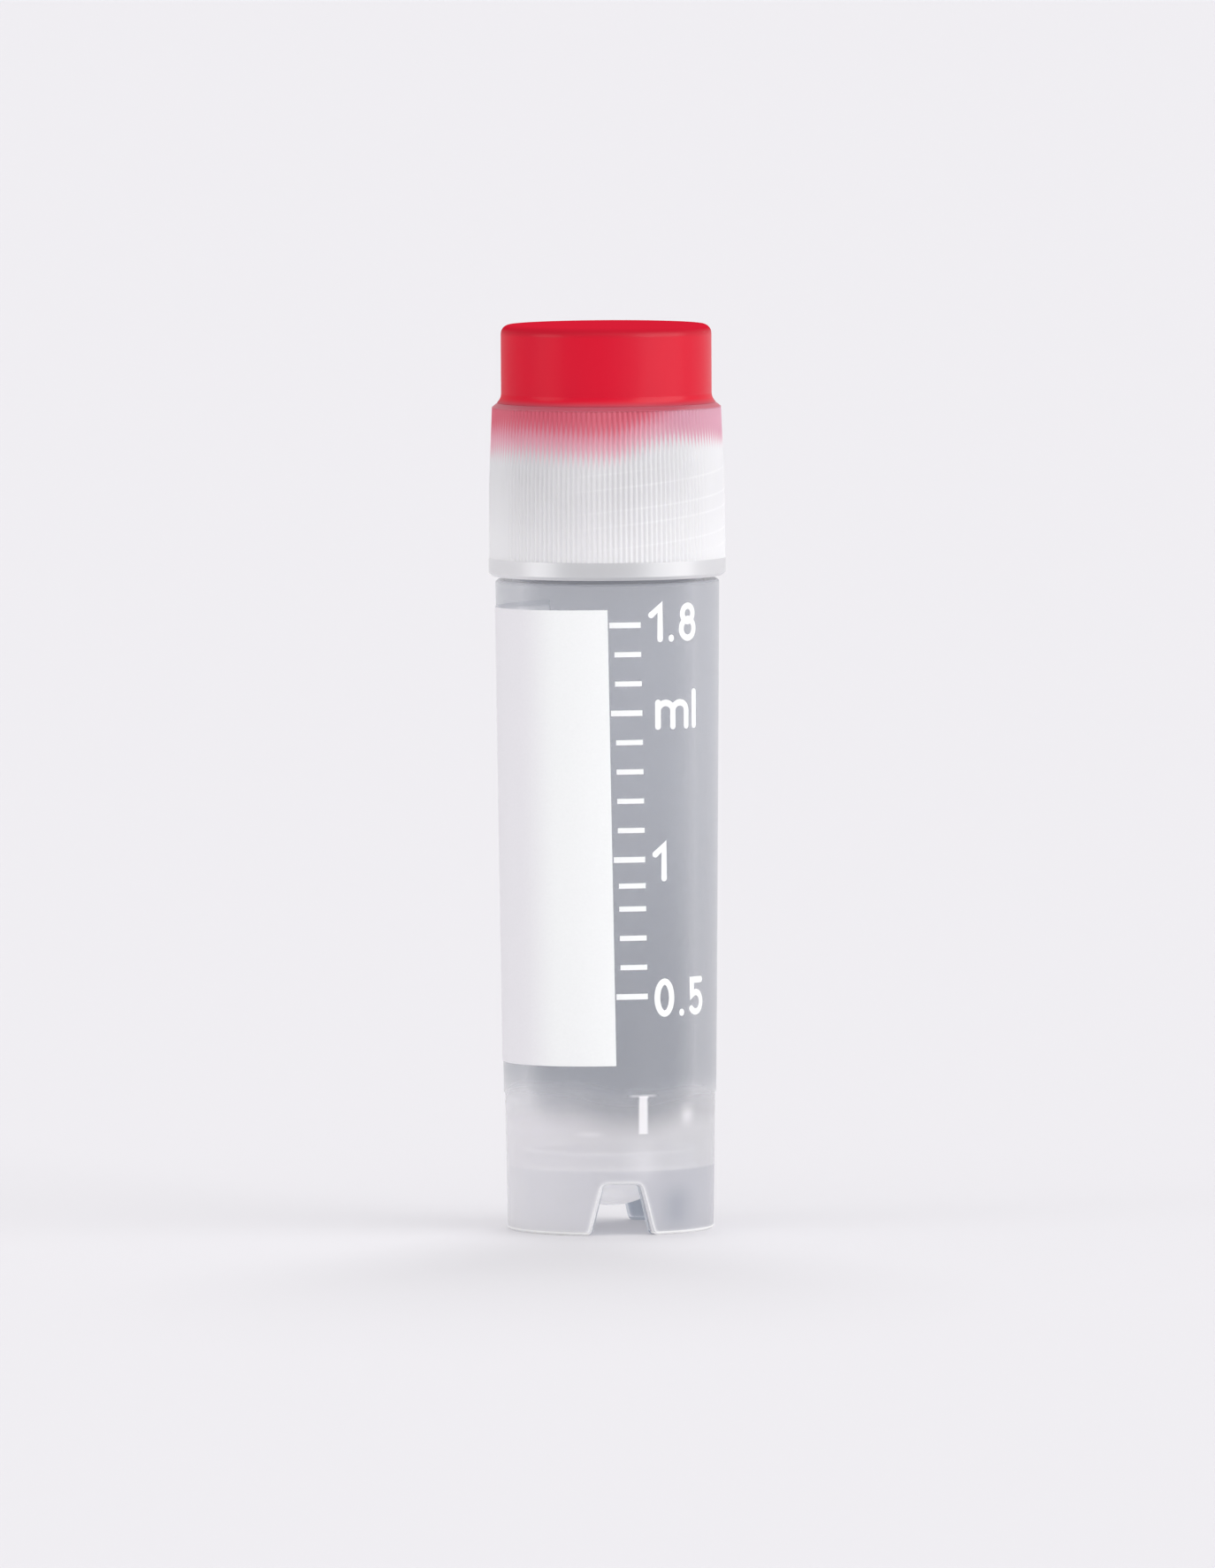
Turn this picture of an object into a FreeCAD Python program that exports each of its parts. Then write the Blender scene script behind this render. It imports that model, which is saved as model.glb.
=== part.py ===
import FreeCAD, Part
import math
import os
import Sketcher

# Cryovial of 2 ml with an outside thread: a self-standing moulded tube, a knurled screw cap with
# a coloured insert and a sealing ring, a printed writing patch and a printed scale.
# Millimetres, +Z up, the origin on the floor at the centre of the foot. The front, where the
# print and a foot notch face, looks along -Y, and +X is to its right.

doc = FreeCAD.newDocument("Cryovial")

# ---------------------------------------------------------------- driving dimensions
SIZES = [
    # foot: the skirt that the tube stands on
    ("foot_radius", 5.48),
    ("foot_top_radius", 5.60),
    ("foot_height", 7.3),
    ("foot_rim_chamfer", 0.10),
    ("skirt_bore_radius", 4.68),
    ("skirt_upper_bore_radius", 4.50),
    ("skirt_step_height", 3.35),
    ("skirt_step_slope", 0.12),
    # underside of the vessel inside the skirt
    ("dome_bottom", 1.2),
    ("dome_radius", 4.0),
    ("groove_width", 0.60),
    # notches in the skirt, which a rack's posts hold while the cap is turned
    ("notch_count", 2),
    ("notch_turn", 6.5),
    ("notch_height", 2.7),
    ("notch_top_width", 2.0),
    ("notch_foot_width", 3.6),
    ("notch_corner_round", 0.30),
    ("notch_flare_round", 0.35),
    # barrel, shoulder and neck
    ("barrel_radius", 5.66),
    ("shoulder_radius", 5.95),
    ("shoulder_height", 34.6),
    ("shoulder_chamfer", 0.12),
    ("neck_radius", 5.15),
    ("mouth_height", 39.6),
    ("mouth_chamfer", 0.14),
    # bore
    ("bore_radius", 4.50),
    ("mouth_bore_radius", 4.60),
    ("bowl_bottom", 3.5),
    # screw thread, right-handed
    ("thread_lead", 4.0),
    ("thread_starts", 2),
    ("thread_flank_angle", 30),
    ("thread_play", 0.12),
    ("thread_sink", 0.08),
    ("neck_ridge_depth", 0.42),
    ("neck_ridge_crest", 0.45),
    ("neck_ridge_first", 1.1),
    ("neck_ridge_rise", 3.2),
    ("cap_ridge_depth", 0.40),
    ("cap_ridge_crest", 0.38),
    ("cap_ridge_turn", 75),
    ("cap_ridge_rise", 3.2),
    # cap shell
    ("cap_foot_gap", 0.2),
    ("cap_band_radius", 6.30),
    ("cap_band_height", 0.95),
    ("cap_band_chamfer", 0.18),
    ("knurl_count", 140),
    ("knurl_depth", 0.08),
    ("knurl_foot_radius", 6.28),
    ("knurl_bend_radius", 6.26),
    ("knurl_bend_height", 3.75),
    ("knurl_top_radius", 6.09),
    ("knurl_seat", 0.05),
    ("cap_rim_radius", 6.10),
    ("cap_rim_bevel", 0.28),
    ("cap_rim_height", 0.22),
    ("cap_bore_radius", 5.70),
    ("cap_mouth_chamfer", 0.15),
    ("cap_web", 0.9),
    ("socket_radius", 5.25),
    ("socket_depth", 2.57),
    ("plug_radius", 3.75),
    ("plug_depth", 1.5),
    ("plug_chamfer", 0.3),
    # coloured insert
    ("insert_play", 0.02),
    ("insert_lead_in", 0.2),
    ("insert_foot_radius", 5.80),
    ("insert_foot_land", 0.05),
    ("insert_flare_height", 0.50),
    ("insert_radius", 5.60),
    ("insert_crown_height", 4.17),
    ("insert_top_round", 0.5),
    # sealing ring
    ("ring_thickness", 0.9),
    ("ring_radius", 5.30),
    ("ring_play", 0.05),
    # ink
    ("ink_gap", 0.01),
    ("ink_thickness", 0.04),
    ("print_lean_angle", 0.8),
    ("patch_foot", 9.05),
    ("patch_height", 24.2),
    ("patch_reach", 8.0),
    ("patch_back", 5.1),
    # scale
    ("half_ml_height", 12.72),
    ("mark_pitch", 1.555),
    ("mark_pitch_above_0_8", 1.22),
    ("mark_pitch_above_0_9", 1.39),
    ("mark_width", 0.27),
    ("major_mark_width", 0.30),
    ("mark_end", 1.74),
    ("mark_length", 1.42),
    ("major_mark_length", 1.66),
]

sheet = doc.addObject("Spreadsheet::Sheet", "Sizes")
for row, (alias, number) in enumerate(SIZES, start=1):
    sheet.set(f"A{row}", alias)
    sheet.set(f"B{row}", str(number))
    sheet.setAlias(f"B{row}", alias)
doc.recompute()


def size(alias):
    """The number in the sheet's cell of that name."""
    return float(getattr(sheet, alias))


# ---------------------------------------------------------------- expressions that pieces share
SHOULDER = "Sizes.shoulder_height"
MOUTH = "Sizes.mouth_height"
CAP_FOOT = "(Sizes.shoulder_height + Sizes.cap_foot_gap)"
CEILING = "(Sizes.mouth_height + Sizes.ring_thickness)"
SOCKET_FLOOR = f"({CEILING} + Sizes.cap_web)"
RIM = f"({SOCKET_FLOOR} + Sizes.socket_depth)"
CROWN = f"({RIM} + Sizes.insert_crown_height)"
FLANK = "tan(Sizes.thread_flank_angle * 1 deg)"
NECK_CREST = "(Sizes.neck_radius + Sizes.neck_ridge_depth)"
CAP_CREST = "(Sizes.cap_bore_radius - Sizes.cap_ridge_depth)"


# ---------------------------------------------------------------- sketch helpers
def new_body(name):
    body = doc.addObject("PartDesign::Body", name)
    body.Label = name
    return body


def datum(body, role):
    """The body's own origin plane or axis with that role."""
    for feature in body.Origin.OriginFeatures:
        if feature.Role == role:
            return feature
    raise ValueError(role)


def arc_between(start, end, radius, bulge):
    """Arc from start to end that bows to the left of the way there, or to the right at bulge -1."""
    chord = end - start
    left = FreeCAD.Vector(-chord.y, chord.x, 0).normalize()
    sagitta = radius - math.sqrt(radius ** 2 - (chord.Length / 2) ** 2)
    return Part.Arc(start, (start + end) * 0.5 + left * (bulge * sagitta), end)


def tie_point(sketch, segment, end, name, across, up):
    """Holds one end of a segment at its distance from the axis and its height."""
    for word, axis, expression in (("DistanceX", -2, across), ("DistanceY", -1, up)):
        if expression == "0":
            sketch.addConstraint(Sketcher.Constraint("PointOnObject", segment, end, axis))
            continue
        number = float(sketch.evalExpression(expression))
        index = sketch.addConstraint(Sketcher.Constraint(word, -1, 1, segment, end, number))
        label = f"{name}_{word[-1].lower()}"
        sketch.renameConstraint(index, label)
        sketch.setExpression(f"Constraints.{label}", expression)


def outline(body, name, corners, turn="0", out="0"):
    """Closed outline on the body's upright XZ plane, turned about Z and moved out along -Y.

    A corner is (name, across, up), reached by a straight line from the one before it, or
    (name, across, up, radius, bulge), reached by an arc. The sizes are expressions.
    """
    sketch = body.newObject("Sketcher::SketchObject", name)
    sketch.AttachmentSupport = [(datum(body, "XZ_Plane"), "")]
    sketch.MapMode = "FlatFace"
    sketch.AttachmentOffset = FreeCAD.Placement(
        FreeCAD.Vector(0, 0, 0), FreeCAD.Rotation(FreeCAD.Vector(0, 1, 0), 1)
    )
    sketch.setExpression("AttachmentOffset.Rotation.Angle", f"({turn}) * 1 deg")
    sketch.setExpression("AttachmentOffset.Base.z", f"({out}) * 1 mm")
    doc.recompute()
    spots = []
    for corner in corners:
        across = float(sketch.evalExpression(corner[1]))
        up = float(sketch.evalExpression(corner[2]))
        spots.append(FreeCAD.Vector(across, up, 0))
    ends = []
    for index, corner in enumerate(corners):
        start, end = spots[index - 1], spots[index]
        if len(corner) == 3:
            sketch.addGeometry(Part.LineSegment(start, end))
            ends.append((1, 2))
            continue
        radius, bulge = corner[3:]
        number = float(sketch.evalExpression(radius))
        segment = sketch.addGeometry(arc_between(start, end, number, bulge))
        ends.append((2, 1) if bulge > 0 else (1, 2))
        hold = sketch.addConstraint(Sketcher.Constraint("Radius", segment, number))
        sketch.renameConstraint(hold, f"{corner[0]}_round")
        sketch.setExpression(f"Constraints.{corner[0]}_round", radius)
    for index, corner in enumerate(corners):
        following = (index + 1) % len(corners)
        here, there = ends[index][1], ends[following][0]
        sketch.addConstraint(Sketcher.Constraint("Coincident", index, here, following, there))
        tie_point(sketch, index, here, corner[0], corner[1], corner[2])
    return sketch


def turned(body, kind, name, corners):
    """A full turn of an outline about Z: kind is Revolution to add it or Groove to cut it."""
    sketch = outline(body, f"{name}_outline", corners)
    feature = body.newObject(f"PartDesign::{kind}", name)
    feature.Profile = sketch
    feature.ReferenceAxis = (sketch, ["V_Axis"])
    feature.Angle = 360
    doc.recompute()
    return feature


def ring_of(body, name, feature, count):
    """Copies of a feature spread evenly about Z."""
    pattern = body.newObject("PartDesign::PolarPattern", name)
    pattern.Originals = [feature]
    pattern.Axis = (datum(body, "Z_Axis"), [""])
    pattern.Angle = 360
    pattern.setExpression("Occurrences", count)
    body.Tip = pattern
    doc.recompute()
    return pattern


def ridges(body, name, root, crest, crest_width, height, rise, turn="0"):
    """Thread ridges of the shared lead, one for each start, between two radii."""
    half_crest = f"{crest_width} / 2"
    half_root = f"({half_crest} + abs({crest} - {root}) * {FLANK})"
    corners = [
        ("root_low", root, f"{height} - {half_root}"),
        ("crest_low", crest, f"{height} - {half_crest}"),
        ("crest_high", crest, f"{height} + {half_crest}"),
        ("root_high", root, f"{height} + {half_root}"),
    ]
    sketch = outline(body, f"{name}_outline", corners, turn)
    helix = body.newObject("PartDesign::AdditiveHelix", name)
    helix.Profile = sketch
    helix.ReferenceAxis = (sketch, ["V_Axis"])
    helix.Mode = "pitch-height-angle"
    helix.setExpression("Pitch", "Sizes.thread_lead * 1 mm")
    helix.setExpression("Height", f"{rise} * 1 mm")
    helix.LeftHanded = False
    helix.Reversed = False
    doc.recompute()
    return ring_of(body, f"{name}_starts", helix, "Sizes.thread_starts")


# ---------------------------------------------------------------- tube: one moulding
tube = new_body("vial_tube")

turned(tube, "Revolution", "wall", [
    ("foot_centre", "0", "0"),
    ("foot_edge", "Sizes.foot_radius", "0"),
    ("foot_top", "Sizes.foot_top_radius", "Sizes.foot_height"),
    ("barrel_foot", "Sizes.barrel_radius", "Sizes.foot_height"),
    ("barrel_top", "Sizes.shoulder_radius", f"{SHOULDER} - Sizes.shoulder_chamfer"),
    ("shoulder", "Sizes.shoulder_radius - Sizes.shoulder_chamfer", SHOULDER),
    ("neck_foot", "Sizes.neck_radius", SHOULDER),
    ("neck_top", "Sizes.neck_radius", f"{MOUTH} - Sizes.mouth_chamfer"),
    ("mouth", "Sizes.neck_radius - Sizes.mouth_chamfer", MOUTH),
    ("mouth_centre", "0", MOUTH),
])

ridges(
    tube, "neck_ridge", "(Sizes.neck_radius - Sizes.thread_sink)", NECK_CREST,
    "Sizes.neck_ridge_crest", f"{SHOULDER} + Sizes.neck_ridge_first", "Sizes.neck_ridge_rise",
)

turned(tube, "Groove", "bore", [
    ("bowl", "0", "Sizes.bowl_bottom"),
    ("bowl_side", "Sizes.bore_radius", "Sizes.bowl_bottom + Sizes.bore_radius",
     "Sizes.bore_radius", -1),
    ("bore_top", "Sizes.mouth_bore_radius", f"{MOUTH} - Sizes.mouth_chamfer"),
    ("lip", "Sizes.mouth_bore_radius + Sizes.mouth_chamfer", MOUTH),
    ("lip_centre", "0", MOUTH),
])

GROOVE_INSIDE = "(Sizes.skirt_upper_bore_radius - Sizes.groove_width)"
GROOVE_TOP = (
    f"Sizes.dome_bottom + Sizes.dome_radius - sqrt(Sizes.dome_radius ^ 2 - {GROOVE_INSIDE} ^ 2)"
)
turned(tube, "Groove", "foot_hollow", [
    ("hollow_centre", "0", "0"),
    ("skirt_foot", "Sizes.skirt_bore_radius", "0"),
    ("step_low", "Sizes.skirt_bore_radius", "Sizes.skirt_step_height"),
    ("step_high", "Sizes.skirt_upper_bore_radius",
     "Sizes.skirt_step_height + Sizes.skirt_step_slope"),
    ("groove_outside", "Sizes.skirt_upper_bore_radius", GROOVE_TOP),
    ("groove_inside", GROOVE_INSIDE, GROOVE_TOP),
    ("dome", "0", "Sizes.dome_bottom", "Sizes.dome_radius", 1),
])


def notch_section(name, out):
    """The notch's trapezoid at a distance from the axis, with sides that point at the axis."""
    share = f"({out}) / Sizes.foot_radius"
    foot = f"Sizes.notch_foot_width / 2 * {share}"
    top = f"Sizes.notch_top_width / 2 * {share}"
    return outline(tube, name, [
        ("foot_left", f"-{foot}", "0"),
        ("foot_right", foot, "0"),
        ("top_right", top, "Sizes.notch_height"),
        ("top_left", f"-{top}", "Sizes.notch_height"),
    ], out=out)


notch_outside = notch_section("notch_outside", "Sizes.foot_top_radius + Sizes.groove_width")
notch_inside = notch_section("notch_inside", f"{GROOVE_INSIDE} + Sizes.groove_width / 4")
notch = tube.newObject("PartDesign::SubtractiveLoft", "notch")
notch.Profile = notch_outside
notch.Sections = [(notch_inside, [""])]
doc.recompute()
notches = ring_of(tube, "notches", notch, "Sizes.notch_count")


def break_edges(body, kind, name, base, amount, chosen):
    """Rounds (Fillet) or bevels (Chamfer) the edges that a test picks by their place and way."""
    names = []
    for index, edge in enumerate(base.Shape.Edges, start=1):
        middle = edge.valueAt((edge.FirstParameter + edge.LastParameter) / 2)
        along = edge.valueAt(edge.LastParameter) - edge.valueAt(edge.FirstParameter)
        if chosen(middle, along):
            names.append(f"Edge{index}")
    feature = body.newObject(f"PartDesign::{kind}", name)
    feature.Base = (base, names)
    feature.setExpression("Radius" if kind == "Fillet" else "Size", f"{amount} * 1 mm")
    body.Tip = feature
    doc.recompute()
    return feature


def crosses_skirt(middle, along):
    """True for an edge that runs through the skirt's wall from outside to inside."""
    radial = FreeCAD.Vector(middle.x, middle.y, 0)
    inside = size("skirt_bore_radius") < radial.Length < size("foot_top_radius")
    return inside and abs(along.dot(radial)) > 0.9 * along.Length * radial.Length


def near(value, target):
    return abs(value - target) < 0.01


corners = break_edges(
    tube, "Fillet", "notch_corners", notches, "Sizes.notch_corner_round",
    lambda middle, along: near(middle.z, size("notch_height")) and crosses_skirt(middle, along),
)
flares = break_edges(
    tube, "Fillet", "notch_flares", corners, "Sizes.notch_flare_round",
    lambda middle, along: near(middle.z, 0) and crosses_skirt(middle, along),
)
break_edges(
    tube, "Chamfer", "foot_rim", flares, "Sizes.foot_rim_chamfer",
    lambda middle, along: near(middle.z, 0),
)
tube.Placement = FreeCAD.Placement(
    FreeCAD.Vector(0, 0, 0), FreeCAD.Rotation(FreeCAD.Vector(0, 0, 1), 1)
)
tube.setExpression("Placement.Rotation.Angle", "Sizes.notch_turn * 1 deg")


# ---------------------------------------------------------------- screw cap: one moulding
KNURL_FOOT = f"({CAP_FOOT} + Sizes.cap_band_height)"
KNURL_BEND = f"({KNURL_FOOT} + Sizes.knurl_bend_height)"
KNURL_TOP = f"({RIM} - Sizes.cap_rim_height)"


def knurl_ring(crest, height):
    """Closed zigzag of crests and roots round the cap at one height."""
    count = int(size("knurl_count"))
    root = crest * (1 - size("knurl_depth") / size("knurl_foot_radius"))
    points = []
    for step in range(2 * count):
        reach = root if step % 2 else crest
        angle = math.pi * step / count
        points.append(FreeCAD.Vector(reach * math.cos(angle), reach * math.sin(angle), height))
    return Part.makePolygon(points + points[:1])


# The sleeve has two drafts, the steeper one towards the rim.
knurl = doc.addObject("Part::Feature", "knurled_sleeve")
knurl.Shape = Part.makeLoft([
    knurl_ring(size("knurl_foot_radius"), float(knurl.evalExpression(KNURL_FOOT))),
    knurl_ring(size("knurl_bend_radius"), float(knurl.evalExpression(KNURL_BEND))),
    knurl_ring(size("knurl_top_radius"), float(knurl.evalExpression(KNURL_TOP))),
], True, True)

cap = new_body("screw_cap")
cap.BaseFeature = knurl
doc.recompute()

CORE = "(Sizes.cap_rim_radius - Sizes.knurl_depth - Sizes.knurl_seat)"
turned(cap, "Revolution", "shell", [
    ("foot_centre", "0", CAP_FOOT),
    ("foot_edge", "Sizes.cap_band_radius - Sizes.cap_band_chamfer", CAP_FOOT),
    ("band_foot", "Sizes.cap_band_radius", f"{CAP_FOOT} + Sizes.cap_band_chamfer"),
    ("band_top", "Sizes.cap_band_radius", KNURL_FOOT),
    ("core_foot", CORE, KNURL_FOOT),
    ("core_top", CORE, KNURL_TOP),
    ("rim_foot", "Sizes.cap_rim_radius", KNURL_TOP),
    ("rim", "Sizes.cap_rim_radius - Sizes.cap_rim_bevel", RIM),
    ("rim_centre", "0", RIM),
])

PLUG_END = f"({CEILING} - Sizes.plug_depth)"
turned(cap, "Groove", "cap_bore", [
    ("bore_centre", "0", CAP_FOOT),
    ("bore_foot", "Sizes.cap_bore_radius + Sizes.cap_mouth_chamfer", CAP_FOOT),
    ("bore_chamfer", "Sizes.cap_bore_radius", f"{CAP_FOOT} + Sizes.cap_mouth_chamfer"),
    ("bore_ceiling", "Sizes.cap_bore_radius", CEILING),
    ("plug_root", "Sizes.plug_radius", CEILING),
    ("plug_side", "Sizes.plug_radius", f"{PLUG_END} + Sizes.plug_chamfer"),
    ("plug_end", "Sizes.plug_radius - Sizes.plug_chamfer", PLUG_END),
    ("plug_centre", "0", PLUG_END),
])

turned(cap, "Groove", "socket", [
    ("floor_centre", "0", SOCKET_FLOOR),
    ("floor_edge", "Sizes.socket_radius", SOCKET_FLOOR),
    ("socket_top", "Sizes.socket_radius", RIM),
    ("top_centre", "0", RIM),
])

# The cap's ridges lie just under the neck's, as in a cap that is screwed down tight.
UNDER = (
    f"((Sizes.neck_ridge_crest + Sizes.cap_ridge_crest) / 2"
    f" + ({NECK_CREST} - {CAP_CREST}) * {FLANK} + Sizes.thread_play)"
)
ridges(
    cap, "cap_ridge", "(Sizes.cap_bore_radius + Sizes.thread_sink)", CAP_CREST,
    "Sizes.cap_ridge_crest",
    f"{SHOULDER} + Sizes.neck_ridge_first - {UNDER}"
    " + Sizes.thread_lead * Sizes.cap_ridge_turn / 360",
    "Sizes.cap_ridge_rise", turn="Sizes.cap_ridge_turn",
)
cap.Placement = FreeCAD.Placement(
    FreeCAD.Vector(0, 0, 0), FreeCAD.Rotation(FreeCAD.Vector(0, 0, 1), 1)
)
cap.setExpression("Placement.Rotation.Angle", "Sizes.notch_turn * 1 deg")


# ---------------------------------------------------------------- coloured insert
insert = new_body("cap_insert")
SPIGOT = "(Sizes.socket_radius - Sizes.insert_play)"
FLARE = "(Sizes.insert_foot_radius - Sizes.insert_radius)"
FLARE_RISE = "(Sizes.insert_flare_height - Sizes.insert_foot_land)"
turned(insert, "Revolution", "crown", [
    ("spigot_centre", "0", SOCKET_FLOOR),
    ("spigot_end", f"{SPIGOT} - Sizes.insert_lead_in", SOCKET_FLOOR),
    ("spigot_lead", SPIGOT, f"{SOCKET_FLOOR} + Sizes.insert_lead_in"),
    ("spigot_root", SPIGOT, RIM),
    ("foot_under", "Sizes.insert_foot_radius", RIM),
    ("foot_land", "Sizes.insert_foot_radius", f"{RIM} + Sizes.insert_foot_land"),
    ("flare_top", "Sizes.insert_radius", f"{RIM} + Sizes.insert_flare_height",
     f"({FLARE} ^ 2 + {FLARE_RISE} ^ 2) / (2 * {FLARE})", 1),
    ("side_top", "Sizes.insert_radius", f"{CROWN} - Sizes.insert_top_round"),
    ("top_edge", "Sizes.insert_radius - Sizes.insert_top_round", CROWN,
     "Sizes.insert_top_round", -1),
    ("top_centre", "0", CROWN),
])


# ---------------------------------------------------------------- sealing ring round the cap's plug
ring = new_body("sealing_ring")
turned(ring, "Revolution", "washer", [
    ("inner_low", "Sizes.plug_radius + Sizes.ring_play", MOUTH),
    ("outer_low", "Sizes.ring_radius", MOUTH),
    ("outer_high", "Sizes.ring_radius", CEILING),
    ("inner_high", "Sizes.plug_radius + Sizes.ring_play", CEILING),
])


# ---------------------------------------------------------------- ink: a skin over the barrel
def barrel_skin(name, lift):
    """Cone as long as the barrel that stands off its surface by lift."""
    cone = doc.addObject("Part::Cone", name)
    cone.setExpression("Radius1", f"(Sizes.barrel_radius + {lift}) * 1 mm")
    cone.setExpression("Radius2", f"(Sizes.shoulder_radius + {lift}) * 1 mm")
    cone.setExpression("Height", f"({SHOULDER} - Sizes.foot_height) * 1 mm")
    cone.setExpression("Placement.Base.z", "Sizes.foot_height * 1 mm")
    return cone


def printed(name, stencil):
    """The part of the ink skin that a stencil lets through."""
    skin = doc.addObject("Part::Cut", f"{name}_skin")
    skin.Base = barrel_skin(f"{name}_outside", "Sizes.ink_gap + Sizes.ink_thickness")
    skin.Tool = barrel_skin(f"{name}_inside", "Sizes.ink_gap")
    ink = doc.addObject("Part::Common", name)
    ink.Label = name
    ink.Base = skin
    ink.Tool = stencil
    doc.recompute()
    return ink


LEAN = "tan(Sizes.print_lean_angle * 1 deg)"
PATCH_TOP = "(Sizes.patch_foot + Sizes.patch_height)"
patch_stencil = new_body("patch_stencil")
patch_outline = outline(patch_stencil, "patch_outline", [
    ("foot_right", f"Sizes.patch_height * {LEAN}", "Sizes.patch_foot"),
    ("top_right", "0", PATCH_TOP),
    ("top_left", "-Sizes.patch_reach", f"{PATCH_TOP} - Sizes.patch_reach * {LEAN}"),
    ("foot_left", "-Sizes.patch_reach", f"Sizes.patch_foot - Sizes.patch_reach * {LEAN}"),
], out="-Sizes.patch_back")
patch_pad = patch_stencil.newObject("PartDesign::Pad", "patch_pad")
patch_pad.Profile = patch_outline
patch_pad.setExpression("Length", "(Sizes.patch_back + Sizes.patch_reach) * 1 mm")
doc.recompute()
patch = printed("writing_patch", patch_stencil)


def mark_stencil(right, height, length, width):
    """Bar that reaches out along -Y from the middle of the barrel."""
    out = size("patch_reach")
    corner = FreeCAD.Vector(right - length, -out, height - width / 2)
    return Part.makeBox(length, out, width, corner)


MAJOR_MARKS = (5, 10, 15, 18)
marks = []
height = size("half_ml_height")
lean = math.tan(math.radians(size("print_lean_angle")))
for tenth in range(5, 19):
    major = tenth in MAJOR_MARKS
    length = size("major_mark_length") if major else size("mark_length")
    width = size("major_mark_width") if major else size("mark_width")
    patch_top = size("patch_foot") + size("patch_height")
    right = size("mark_end") + (patch_top - height) * lean
    marks.append(mark_stencil(right, height, length, width))
    height += {8: size("mark_pitch_above_0_8"), 9: size("mark_pitch_above_0_9")}.get(
        tenth, size("mark_pitch")
    )
scale_stencil = doc.addObject("Part::Feature", "scale_stencil")
scale_stencil.Shape = Part.makeCompound(marks)
scale = printed("graduation_marks", scale_stencil)


# ---------------------------------------------------------------- checks and export
doc.recompute()
for item in doc.Objects:
    if "Invalid" in item.State or "Error" in item.State:
        raise RuntimeError(f"{item.Name}: {item.State}")

os.makedirs("parts", exist_ok=True)
for piece in (tube, cap, insert, ring, patch, scale):
    shape = piece.Shape
    if shape.isNull() or not shape.isValid() or not shape.Solids:
        raise RuntimeError(f"{piece.Label}: no valid solid")
    shape.exportStep(f"parts/{piece.Label}.step")
    print(f"{piece.Label}: {len(shape.Solids)} solids, {shape.Volume:.2f} mm3")
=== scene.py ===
import math
import bmesh
import bpy
from mathutils import Matrix, Vector


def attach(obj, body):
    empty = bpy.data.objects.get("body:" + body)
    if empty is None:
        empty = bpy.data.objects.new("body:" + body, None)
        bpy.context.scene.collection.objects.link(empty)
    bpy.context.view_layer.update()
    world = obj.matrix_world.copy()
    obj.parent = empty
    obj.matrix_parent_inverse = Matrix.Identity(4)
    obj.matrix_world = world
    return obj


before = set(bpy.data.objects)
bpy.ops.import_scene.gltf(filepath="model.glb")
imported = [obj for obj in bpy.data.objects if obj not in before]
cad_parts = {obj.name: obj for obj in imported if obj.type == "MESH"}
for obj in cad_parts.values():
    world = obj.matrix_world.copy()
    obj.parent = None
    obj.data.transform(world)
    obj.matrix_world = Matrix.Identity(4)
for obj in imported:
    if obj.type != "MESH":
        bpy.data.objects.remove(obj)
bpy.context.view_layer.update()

# Cryovial, closed and standing on its notched foot. Metres, +Z up, its printed side towards -Y.


# ---------------------------------------------------------------- tube
# One moulding of natural polypropylene, hazy rather than clear: the thin barrel looks blue-grey,
# the thick foot under its round bottom looks milky, and light collects along its sharp edges.
class Socket:
    """A shader node's output that works in Python sums."""

    def __init__(self, nodes, output):
        self.nodes = nodes
        self.output = output

    def combine(self, operation, first, second):
        return self.nodes.make("Math", {"operation": operation}, {0: first, 1: second})

    def __add__(self, other):
        return self.combine("ADD", self, other)

    def __radd__(self, other):
        return self.combine("ADD", other, self)

    def __sub__(self, other):
        return self.combine("SUBTRACT", self, other)

    def __rsub__(self, other):
        return self.combine("SUBTRACT", other, self)

    def __mul__(self, other):
        return self.combine("MULTIPLY", self, other)

    def __rmul__(self, other):
        return self.combine("MULTIPLY", other, self)

    def __truediv__(self, other):
        return self.combine("DIVIDE", self, other)


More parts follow.
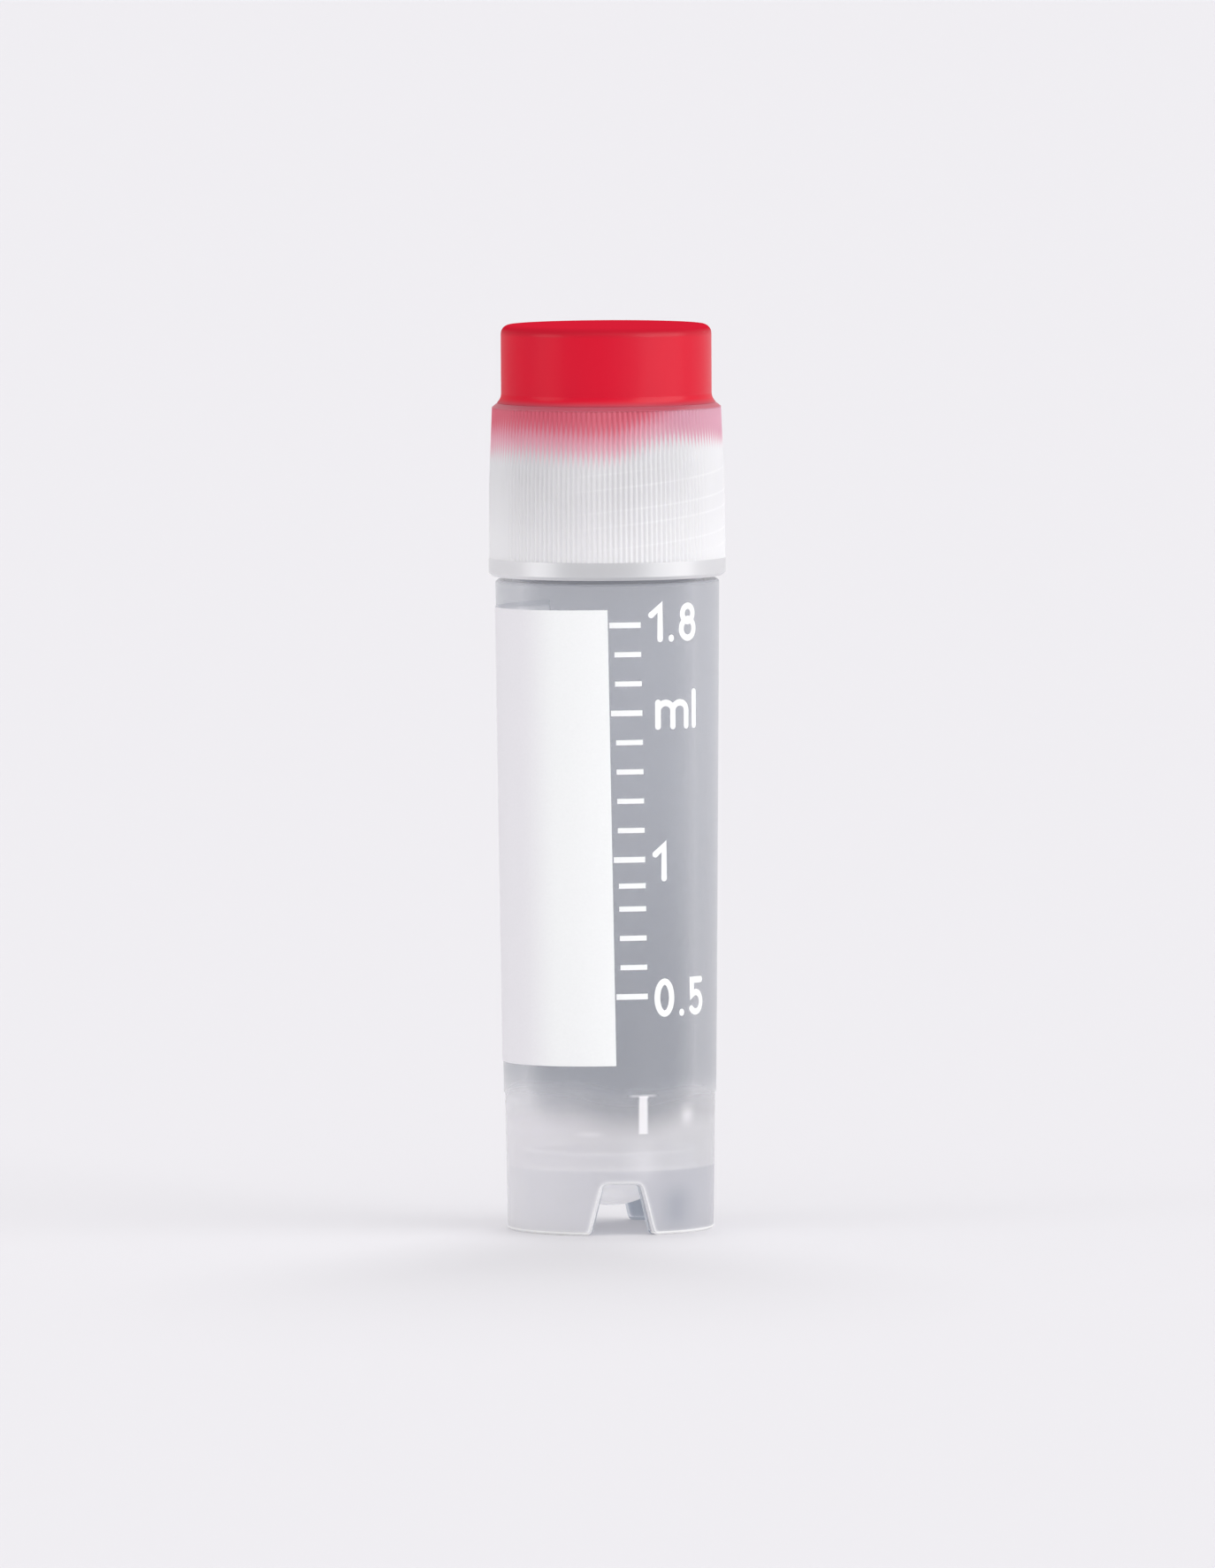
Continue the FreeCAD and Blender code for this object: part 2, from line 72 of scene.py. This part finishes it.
class Nodes:
    """The node tree of one new material, or of the world."""

    millimetres = 1000

    def __init__(self, name, world=None):
        self.owner = world or bpy.data.materials.new(name)
        self.owner.use_nodes = True
        self.tree = self.owner.node_tree
        self.tree.nodes.clear()

    def make(self, kind, settings=None, values=None, output=0):
        """Adds a node, sets it, fills its sockets with numbers or links and gives one output."""
        node = self.tree.nodes.new("ShaderNode" + kind)
        for name, setting in (settings or {}).items():
            setattr(node, name, setting)
        for name, value in (values or {}).items():
            if isinstance(value, Socket):
                self.tree.links.new(value.output, node.inputs[name])
            else:
                node.inputs[name].default_value = value
        return Socket(self, node.outputs[output]) if node.outputs else None

    def spot(self, stretch=(1, 1, 1)):
        """Place on the piece in metres, stretched."""
        place = self.make("TexCoord", output="Object")
        return self.make("Mapping", None, {"Vector": place, "Scale": stretch})

    def axes(self):
        """Place on the piece in millimetres: across, inwards, up and out from its axis."""
        place = self.spot([self.millimetres] * 3)
        across, inwards, up = (
            self.make("SeparateXYZ", None, {0: place}, output=axis) for axis in range(3)
        )
        flat = self.spot((self.millimetres, self.millimetres, 0))
        out = self.make("VectorMath", {"operation": "LENGTH"}, {0: flat}, output="Value")
        return across, inwards, up, out

    def fade(self, value, low, high):
        """Rises softly from 0 to 1 while the value goes from low to high."""
        values = {"Value": value, "From Min": low, "From Max": high}
        return self.make("MapRange", {"interpolation_type": "SMOOTHSTEP"}, values)

    def between(self, value, low, high, soft):
        """1 between two values and 0 outside, with soft edges."""
        rise = self.fade(value, low - soft, low + soft)
        return rise - self.fade(value, high - soft, high + soft)

    def clouds(self, size, detail=2.0, stretch=(1, 1, 1)):
        """Soft pattern from 0 to 1 with patches about that wide, in metres."""
        values = {"Vector": self.spot(stretch), "Scale": 1 / size, "Detail": detail}
        return self.make("TexNoise", None, values)

    def blend(self, share, first, second):
        """The first colour where share is 0, the second where it is 1."""
        values = {0: share, 6: first, 7: second}
        return self.make("Mix", {"data_type": "RGBA"}, values, output=2)

    def level(self, share, first, second):
        """The first number where share is 0, the second where it is 1."""
        return self.make("Mix", {"data_type": "FLOAT"}, {0: share, 2: first, 3: second})

    def edges(self, radius):
        """Rises from 0 towards 1 within a radius of a sharp edge."""
        rounded = self.make("Bevel", {"samples": 6}, {"Radius": radius})
        flat = self.make("NewGeometry", output="Normal")
        return self.fade(1 - self.dot(rounded, flat), 0.005, 0.1)

    def dot(self, first, second):
        """How far two directions agree."""
        values = {0: first, 1: second}
        return self.make("VectorMath", {"operation": "DOT_PRODUCT"}, values, output="Value")

    def bump(self, height, strength, distance):
        """A fine relief of the surface."""
        values = {"Height": height, "Strength": strength, "Distance": distance}
        return self.make("Bump", None, values)

    def surface(self, shader):
        """Ends a material with its shader."""
        self.make("OutputMaterial", None, {"Surface": shader})
        return self.owner

    def see_through(self, shader, share):
        """A shader that lets a share of the lamps' light pass to what lies behind it."""
        passing = self.make("LightPath", output="Is Shadow Ray") * share
        clear = self.make("BsdfTransparent")
        return self.make("MixShader", None, {0: passing, 1: shader, 2: clear})


def dress(name, material):
    """Gives a moulded piece its finish."""
    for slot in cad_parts[name].material_slots:
        slot.material = material


# Sizes of the moulding in millimetres.
skirt_step_height, bowl_bottom = 3.35, 3.5
foot_height, shoulder_height = 7.3, 34.6

# Limits round the faces that differ. Those under the patch lie a little inside its edges.
dome_limit = 4.25
hollow_wall_from, hollow_wall_to, hollow_top = 4.3, 4.85, 4.3
under_patch_foot, under_patch_top = 9.4, 32.9
under_patch_front, under_patch_back = -0.4, 5.0

barrel_low_grey, barrel_high_grey = (0.10, 0.13, 0.18, 1), (0.215, 0.25, 0.31, 1)
collar_painted_light, hollow_shade_grey = (0.40, 0.415, 0.46, 1), (0.355, 0.38, 0.43, 1)
darker_leg_grey, mottle_grey = (0.34, 0.36, 0.41, 1), (0.75, 0.76, 0.79, 1)
skirt_painted_light, skirt_painted_shade = (0.735, 0.725, 0.75, 1), (0.49, 0.49, 0.525, 1)
bowl_painted_light, bowl_painted_shade = (0.76, 0.745, 0.77, 1), (0.585, 0.58, 0.60, 1)
dome_white, highlight_white, edge_white = (0.90, 0.89, 0.91, 1), (0.86, 0.85, 0.87, 1), (1, 1, 1, 1)
painted_hollow_glow, painted_dome_glow, no_glow = (0.09, 0.10, 0.115, 1), (0.18, 0.175, 0.17, 1), (0, 0, 0, 1)

hazy = Nodes("natural_polypropylene")
across, inwards, up, out = hazy.axes()
side = across / out
front = 1 - hazy.fade(inwards, -1.0, 1.0)

# Zones: the outer skin, the milky foot with its bowed brim, the shoulder and neck, and, seen from
# below, the dome under the bowl and the outer wall of the hollow round it.
skin = hazy.fade(out, 4.9, 5.2)
off_centre = hazy.make("Math", {"operation": "ABSOLUTE"}, {0: side - 0.2})
brim = up + (1 - hazy.fade(off_centre, 0.1, 0.6)) * 0.45
foot_zone = (1 - hazy.fade(brim, 5.4, 7.4)) * skin
pale_zone = (1 - hazy.fade(brim, 6.4, 8.6)) * skin
collar = hazy.fade(up, shoulder_height - 0.25, shoulder_height + 0.2)
hollow = hazy.between(out, hollow_wall_from, hollow_wall_to, 0.05) * (
    1 - hazy.fade(up, hollow_top, hollow_top + 0.1))
dome = (1 - hazy.fade(out, dome_limit - 0.05, dome_limit + 0.05)) * (
    1 - hazy.fade(up, bowl_bottom - 0.05, bowl_bottom))
mottle = hazy.clouds(0.004, 3.0, (1, 1, 0.4))

tone = hazy.blend(hazy.fade(up, 5, 34), barrel_low_grey, barrel_high_grey)
# Painted light: the shoulder and neck are painted paler, over the shade in the gap under the cap.
tone = hazy.blend(collar, tone, collar_painted_light)
# Painted light and shade: the foot is painted paler on the left and greyer on the right.
painted_side_shading = hazy.fade(side, -0.9, 0.9)
skirt_tone = hazy.blend(painted_side_shading, skirt_painted_light, skirt_painted_shade)
bowl_tone = hazy.blend(painted_side_shading, bowl_painted_light, bowl_painted_shade)
above_step = hazy.fade(up, skirt_step_height, skirt_step_height + 0.15)
tone = hazy.blend(pale_zone, tone, hazy.blend(above_step, skirt_tone, bowl_tone))
# Painted shade: the wall of the hollow inside the skirt is painted a darker grey.
tone = hazy.blend(hollow, tone, hollow_shade_grey)
tone = hazy.blend(dome, tone, dome_white)
tone = hazy.blend(hazy.fade(mottle, 0.45, 0.8) * 0.12 * skin, tone, mottle_grey)

# Painted highlights in the foot, where light gathers in its round bottom.
streak_highlight = hazy.between(side, 0.272, 0.356, 0.014) * hazy.between(up, 5.4, 7.4, 0.05)
cross_highlight = hazy.between(side, 0.18, 0.43, 0.05) * hazy.between(up, 7.36, 7.5, 0.04)
glint = hazy.between(side, 0.70, 0.76, 0.07) * hazy.between(up, 5.9, 6.7, 0.45)
glow = hazy.between(side, 0.22, 0.40, 0.16) * hazy.between(up, 3.0, 4.8, 1.0)
fleck_highlight = hazy.between(side, -0.30, -0.10, 0.08) * hazy.between(up, 5.3, 5.5, 0.15)
pale = (streak_highlight + cross_highlight * 0.6 + glint + glow * 0.4 + fleck_highlight * 0.4) * front * skin
# A patch low on the front of the right leg is darker.
darker_leg = hazy.between(side, 0.55, 0.72, 0.14) * hazy.between(up, 0.5, 2.3, 0.7) * front * skin
tone = hazy.blend(darker_leg * 0.7, tone, darker_leg_grey)
tone = hazy.blend(pale, tone, highlight_white)

# Light collects on the notches' edges and on the ring that the skirt stands on.
rim = hazy.edges(0.0004) * (1 - hazy.fade(up, foot_height - 0.4, foot_height - 0.2))
rim = hazy.level(1 - hazy.fade(up, 0.14, 0.2), rim, skin)
tone = hazy.blend(rim, tone, edge_white)

# Haze, from clear at 0 to opaque at 1. The skin stays clear under the writing patch.
facing = hazy.make("LayerWeight", None, {"Blend": 0.5}, output="Facing")
inner_haze = hazy.level(hazy.fade(up, 8, 25), 0.25, 0.20) * (1 - hazy.fade(facing, 0.2, 0.95))
skin_haze = hazy.level(hazy.fade(side * side, 0.4, 0.75), 0.27, 0.31)
haze = hazy.level(foot_zone, skin_haze, 0.88)
haze = hazy.level(skin, inner_haze, haze)
haze = hazy.level(collar, haze, 0.7)
patched = (1 - hazy.fade(across, under_patch_front, under_patch_front + 0.1)) * (
    1 - hazy.fade(inwards, under_patch_back, under_patch_back + 0.08))
patched = patched * hazy.between(up, under_patch_foot, under_patch_top, 0.1) * skin
haze = hazy.level(patched, haze, 0.0)
haze = hazy.level(hollow + dome, haze, 0.85)
haze = hazy.level(pale * 0.9, haze, 1.0)
haze = hazy.level(rim, haze, 1.0)
ripple = hazy.clouds(0.0025, 2.0, (1, 1, 0.35))
plastic = hazy.make("BsdfPrincipled", None, {
    "Base Color": tone,
    "Roughness": 0.22,
    "IOR": 1.49,
    "Alpha": haze,
    "Subsurface Weight": 0.5,
    "Subsurface Radius": (0.9, 0.9, 1.0),
    "Subsurface Scale": 0.0015,
    # Painted light: a faint emission makes the dome and the wall of the hollow glow.
    "Emission Color": hazy.blend(dome, hazy.blend(hollow, no_glow, painted_hollow_glow), painted_dome_glow),
    "Emission Strength": 1.0,
    "Normal": hazy.bump(ripple, 0.05, 0.0002),
})
dress("vial_tube", hazy.surface(hazy.see_through(plastic, 0.7)))


# ---------------------------------------------------------------- screw cap
# Knurled shell of natural polypropylene, moulded with its inside thread and unscrewed off its core.
# The red insert's spigot glows through it under the rim, and the twin thread shows faintly.
knurl_count = 140
thread_lead, thread_starts = 4.0, 2
band_top, rim_foot = 35.75, 43.75

wall_white, thick_white, bright_white = (
    (0.785, 0.78, 0.795, 1), (0.655, 0.65, 0.665, 1), (0.82, 0.815, 0.83, 1))
faint_pink, deep_pink = (0.70, 0.34, 0.42, 1), (0.62, 0.105, 0.16, 1)
right_painted_pink, rim_red = (0.64, 0.32, 0.41, 1), (0.46, 0.078, 0.12, 1)
flank_white = (0.95, 0.95, 0.96, 1)
band_grey, band_painted_sheen = (0.43, 0.435, 0.455, 1), (0.60, 0.595, 0.615, 1)

milky = Nodes("milky_polypropylene")
across, inwards, up, out = milky.axes()
side = across / out
turn = milky.make("Math", {"operation": "ARCTAN2"}, {0: inwards, 1: across})
grooves = milky.make("Math", {"operation": "COSINE"}, {0: turn * knurl_count})
drift = milky.clouds(0.0035, 2.0, (1, 1, 0.5))
white = milky.blend(milky.fade(up, 36, 40.5), wall_white, thick_white)
# Painted light: the shell is painted whiter towards its right side, where the lamp falls.
white = milky.blend(milky.fade(side, 0.1, 0.8) * 0.4, white, bright_white)
white = milky.blend(milky.fade(drift, 0.35, 0.75) * 0.4, white, bright_white)

# The glow of the insert fades downwards and reaches a little lower on the ridges than between.
# Painted light: on the right the glow is painted paler and ends higher, as the lamp washes it out.
bow = side * side * (-0.15) - milky.fade(side, 0.05, 0.5) * 0.8
depth = up + bow + (drift - 0.5) * 0.8 - grooves * 0.32
tone = milky.blend(milky.fade(depth, 40.85, 42.1), white, faint_pink)
tone = milky.blend(milky.fade(depth, 42.0, 43.2), tone, deep_pink)
right_painted_light = milky.fade(side, 0.3, 0.7) * milky.fade(depth, 41.1, 42.0)
tone = milky.blend(right_painted_light, tone, right_painted_pink)
tone = milky.blend(milky.fade(up, rim_foot - 0.07, rim_foot + 0.05), tone, rim_red)

# The thread's flanks catch the light through the wall.
climb = (up - turn * (thread_lead / (2 * math.pi))) / (thread_lead / thread_starts)
phase = milky.make("Math", {"operation": "FRACT"}, {0: climb})
flanks = milky.between(phase, 0.30, 0.34, 0.03) + milky.between(phase, 0.70, 0.74, 0.03)
threaded = milky.between(up, 36.4, 40.6, 0.5) * milky.fade(side, -0.5, 0.3)
tone = milky.blend(flanks * threaded * milky.fade(drift, 0.3, 0.6) * 0.3, tone, flank_white)

band = 1 - milky.fade(up, band_top - 0.03, band_top + 0.03)
# Painted reflections: the band is painted paler towards both sides, where the softboxes reflect.
band_tone = milky.blend(milky.fade(side * side, 0.12, 0.5), band_grey, band_painted_sheen)
tone = milky.blend(band, tone, band_tone)
dress("screw_cap", milky.surface(milky.make("BsdfPrincipled", None, {
    "Base Color": tone,
    "Roughness": 0.42,
    "IOR": 1.49,
    "Coat Weight": band,
    "Coat Roughness": 0.33,
    "Coat IOR": 4.0,
    "Subsurface Weight": 0.35,
    "Subsurface Radius": (0.9, 0.9, 1.0),
    "Subsurface Scale": 0.0006,
    "Normal": milky.bump(milky.clouds(0.0006, 3.0), 0.06, 0.0001),
})))


# ---------------------------------------------------------------- coloured insert
# Opaque red insert of dyed polypropylene with a flared foot. It is moulded by itself and pressed
# into the socket in the cap's top, so that its colour can tell one sample from another.
flare_foot, crown_top = 43.97, 48.14
bright_red, swirl_red = (0.69, 0.0035, 0.025, 1), (0.655, 0.0045, 0.027, 1)
foot_red, crown_painted_shade = (0.47, 0.05, 0.08, 1), (0.505, 0.0105, 0.0275, 1)

red = Nodes("red_polypropylene")
across, _, up, _ = red.axes()
swirl = red.clouds(0.005, 3.0, (1, 1, 0.5))
tone = red.blend(red.fade(swirl, 0.3, 0.7), bright_red, swirl_red)
tone = red.blend(1 - red.fade(up, flare_foot - 0.02, flare_foot + 0.33), tone, foot_red)
# Painted shade: the top face and its round edge are painted a darker red, as little light falls
# from above.
tone = red.blend(red.fade(up, crown_top - 0.64, crown_top - 0.19), tone, crown_painted_shade)
gloss = 0.34 + 0.26 * red.fade(across, -0.5, 2.0)
grain = red.clouds(0.00025, 3.0)
dress("cap_insert", red.surface(red.make("BsdfPrincipled", None, {
    "Base Color": tone,
    "Roughness": 0.5,
    "Specular IOR Level": 0.0,
    "Coat Weight": gloss * (1 - red.fade(up, crown_top - 0.44, crown_top - 0.14)),
    "Coat Roughness": 0.28,
    "Normal": red.bump(grain, 0.06, 0.00005),
})))


# ---------------------------------------------------------------- sealing ring
# Ring of milky silicone rubber, cut flat. It lies between the cap's ceiling and the tube's mouth,
# centred by the cap's plug, and closes the tube when the cap is turned down.
dull_milk, clear_milk = (0.80, 0.80, 0.82, 1), (0.88, 0.88, 0.89, 1)

rubber = Nodes("milky_silicone")
dress("sealing_ring", rubber.surface(rubber.make("BsdfPrincipled", None, {
    "Base Color": rubber.blend(rubber.clouds(0.002), dull_milk, clear_milk),
    "Roughness": 0.5,
    "Normal": rubber.bump(rubber.clouds(0.0004), 0.1, 0.00005),
})))


# ---------------------------------------------------------------- print
# White ink, screen-printed on the finished tube: the writing patch, the ticks of the scale and its
# numbers. Its face is dull white, and its back shines through the tube.
ink = Nodes("white_ink")
across = ink.axes()[0]
speckle = ink.clouds(0.00012, 3.0)
# Painted shade: the patch is painted greyer towards its left edge, where it turns away round the
# barrel.
painted_shade_ink = ink.blend(speckle, (0.80, 0.785, 0.815, 1), (0.84, 0.825, 0.855, 1))
plain_ink = ink.blend(speckle, (0.89, 0.90, 0.90, 1), (0.94, 0.95, 0.95, 1))
opaque = ink.make("BsdfPrincipled", None, {
    "Base Color": ink.blend(ink.fade(across, -4.8, -2.6), painted_shade_ink, plain_ink),
    "Roughness": 0.55,
    "Specular IOR Level": 0.3,
    "Normal": ink.bump(speckle, 0.12, 0.00004),
})
shining = ink.make("BsdfTranslucent", None, {"Color": (0.97, 0.97, 0.98, 1)})
away_from_axis = ink.spot((ink.millimetres, ink.millimetres, 0))
printed_side = ink.fade(ink.dot(ink.make("TexCoord", output="Normal"), away_from_axis), -0.5, 0.5)
film = ink.make("MixShader", None, {0: printed_side * 0.7 + 0.3, 1: shining, 2: opaque})
ink_finish = ink.surface(ink.see_through(film, 0.6))
dress("writing_patch", ink_finish)
dress("graduation_marks", ink_finish)


# ---------------------------------------------------------------- numbers on the scale
# Plain numbers and the unit, printed on the barrel beside the longer marks. Each stroke is a strip
# of constant width with round ends, drawn flat in millimetres and wrapped round the barrel.
barrel_radius, shoulder_radius = 5.66, 5.95
ink_lift, stroke_lift = 0.045, 0.003
stroke_width = 0.34
figure_height = 2.04


def arc(middle, radii, start, end, steps=14):
    """Points on an ellipse between two angles in degrees."""
    angles = [math.radians(start + (end - start) * step / steps) for step in range(steps + 1)]
    return [
        (middle[0] + radii[0] * math.cos(a), middle[1] + radii[1] * math.sin(a)) for a in angles
    ]


def glyph(sign):
    """Centrelines of a sign's strokes and its width, its foot at height 0."""
    half = stroke_width / 2
    top = figure_height - half
    if sign == "1":
        return [[(0.10, top - 0.42), (0.62, top), (0.62, half)]], 0.80
    if sign == "0":
        middle = figure_height / 2
        return [arc((0.62, middle), (0.44, middle - half), 0, 360, 32)], 1.24
    if sign == "5":
        bowl = arc((0.58, half + 0.52), (0.47, 0.52), 128, -140, 20)
        return [[(1.02, top), (0.26, top)] + bowl], 1.22
    if sign == "8":
        low, high = 0.50, 0.41
        return [
            arc((0.62, half + low), (0.46, low), 0, 360, 28),
            arc((0.62, top - high), (0.38, high), 0, 360, 28),
        ], 1.24
    if sign == ".":
        return [[(0.18, half), (0.18, half + 0.04)]], 0.36
    if sign == "l":
        return [[(0.17, half), (0.17, top + 0.08)]], 0.40
    arches = [arc((place, 1.0), (0.46, 0.42), 180, 0, 12) for place in (0.63, 1.55)]
    return [
        [(0.17, half), (0.17, 1.44)],
        arches[0] + [(1.09, half)],
        arches[1] + [(2.01, half)],
    ], 2.2


def strip(form, points, layer):
    """A strip with round ends along a centreline, in the flat drawing, a little above others."""
    half = stroke_width / 2
    closed = (Vector(points[0]) - Vector(points[-1])).length < 1e-6
    spots = [Vector(point) for point in points]
    rows = []
    for index, spot in enumerate(spots):
        before = spots[index - 1] if index or not closed else spots[-2]
        after = spots[(index + 1) % len(spots)] if index + 1 < len(spots) else (
            spots[1] if closed else spot)
        if index == 0 and not closed:
            before = spot
        way_in = (spot - before).normalized() if (spot - before).length else None
        way_out = (after - spot).normalized() if (after - spot).length else None
        way = ((way_in or way_out) + (way_out or way_in)).normalized()
        spread = half / max(0.5, way.dot(way_out or way_in))
        sideways = Vector((-way.y, way.x)) * spread
        rows.append([
            form.verts.new((*(spot + offset), layer)) for offset in (sideways, -sideways)
        ])
    for first, second in zip(rows, rows[1:]):
        form.faces.new((first[0], first[1], second[1], second[0]))
    if closed:
        return
    for end, inner in ((spots[0], spots[1]), (spots[-1], spots[-2])):
        facing = math.atan2(end.y - inner.y, end.x - inner.x)
        fan = [
            form.verts.new((
                end.x + half * math.cos(facing + math.radians(turn)),
                end.y + half * math.sin(facing + math.radians(turn)), layer,
            ))
            for turn in range(-90, 91, 18)
        ]
        form.faces.new(fan)


def number(name, signs, left, foot, gap):
    """Signs printed on the barrel from a place on its unrolled surface rightwards."""
    slice_width, slices = 0.12, 40
    form = bmesh.new()
    start = 0.0
    layer = 0.0
    for sign in signs:
        strokes, width = glyph(sign)
        for points in strokes:
            strip(form, [(start + right, high) for right, high in points], layer)
            layer += stroke_lift
        start += width + gap
    for cut in range(1, slices):
        bmesh.ops.bisect_plane(
            form, geom=form.verts[:] + form.edges[:] + form.faces[:],
            plane_co=(cut * slice_width, 0, 0), plane_no=(1, 0, 0),
        )
    for vert in form.verts:
        height = foot + vert.co.y
        share = (height - foot_height) / (shoulder_height - foot_height)
        reach = barrel_radius + (shoulder_radius - barrel_radius) * share + ink_lift + vert.co.z
        angle = (left + vert.co.x) / reach
        on_barrel = Vector((reach * math.sin(angle), -reach * math.cos(angle), height))
        vert.co = on_barrel / ink.millimetres
    for face in form.faces:
        face.normal_update()
        middle = face.calc_center_median()
        if face.normal.x * middle.x + face.normal.y * middle.y < 0:
            face.normal_flip()
    mesh = bpy.data.meshes.new(name)
    form.to_mesh(mesh)
    form.free()
    mesh.materials.append(ink_finish)
    piece = bpy.data.objects.new(name, mesh)
    bpy.context.scene.collection.objects.link(piece)
    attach(piece, "vial")


number("number_1.8", "1.8", 2.27, 31.50, 0.33)
number("unit_ml", "ml", 2.57, 26.85, 0.23)
number("number_1", "1", 2.44, 18.80, 0.3)
number("number_0.5", "0.5", 2.44, 11.60, 0.32)


# ---------------------------------------------------------------- studio
# Wide pale table under soft light from both sides, from above the camera and from behind. The
# lamps are suns with a wide angle, which light as large softboxes far away do, whatever the pose.
table_reach = 9.0
table_tone = (0.640, 0.629, 0.653, 1)
horizon_tone = (0.871, 0.855, 0.888, 1)

table_mesh = bpy.data.meshes.new("table_top")
corners = [(-1, -1), (1, -1), (1, 1), (-1, 1)]
table_mesh.from_pydata(
    [(right * table_reach, back * table_reach, 0) for right, back in corners], [], [(0, 1, 2, 3)])
table = bpy.data.objects.new("table_top", table_mesh)
bpy.context.scene.collection.objects.link(table)
bare = Nodes("pale_table")
table.data.materials.append(bare.surface(bare.make("BsdfPrincipled", None, {
    "Base Color": table_tone,
    "Roughness": 0.9,
    "Specular IOR Level": 0.0,
})))

for name, strength, bearing, height, spread in (
    ("right_softbox", 1.5, 65, 18, 60),
    ("left_softbox", 0.6, -68, 12, 36),
    ("top_softbox", 0.7, 10, 65, 70),
    ("back_softbox", 1.5, 175, 50, 35),
):
    light = bpy.data.lights.new(name, "SUN")
    light.energy = strength
    light.angle = math.radians(spread)
    lamp = bpy.data.objects.new(name, light)
    turn = math.radians(bearing)
    rise = math.radians(height)
    level = math.cos(rise)
    towards = Vector((math.sin(turn) * level, -math.cos(turn) * level, math.sin(rise)))
    lamp.rotation_euler = towards.to_track_quat("Z", "Y").to_euler()
    bpy.context.scene.collection.objects.link(lamp)

# The world lights the piece a plain white, and past the table's edge it shows the table's own tone.
bpy.context.scene.world = bpy.data.worlds.new("studio")
sky = Nodes("studio", bpy.context.scene.world)
light_tent = sky.make("Background", None, {"Color": (1, 1, 1, 1), "Strength": 0.6})
far_table = sky.make("Background", None, {"Color": horizon_tone, "Strength": 1.0})
seen = sky.make("LightPath", output="Is Camera Ray")
sky.make("OutputWorld", None, {
    "Surface": sky.make("MixShader", None, {0: seen, 1: light_tent, 2: far_table}),
})

# A long lens a metre away and a little above the cap, aimed at the middle of the tube.
camera = bpy.data.cameras.new("camera")
camera.sensor_fit = "VERTICAL"
camera.sensor_height = 36
camera.lens = 466.2
camera.clip_start = 0.05
camera.clip_end = 50
eye = bpy.data.objects.new("camera", camera)
bpy.context.scene.collection.objects.link(eye)
eye.location = (-0.00005, -1.0778, 0.0924)
aimed_at = Vector((-0.00005, 0, 0.02366))
upright = (aimed_at - eye.location).to_track_quat("-Z", "Y").to_matrix()
tilt = Matrix.Rotation(math.radians(-0.31), 3, "Z")
eye.rotation_euler = (upright @ tilt).to_euler()
bpy.context.scene.camera = eye

bpy.context.scene.view_settings.view_transform = "Standard"
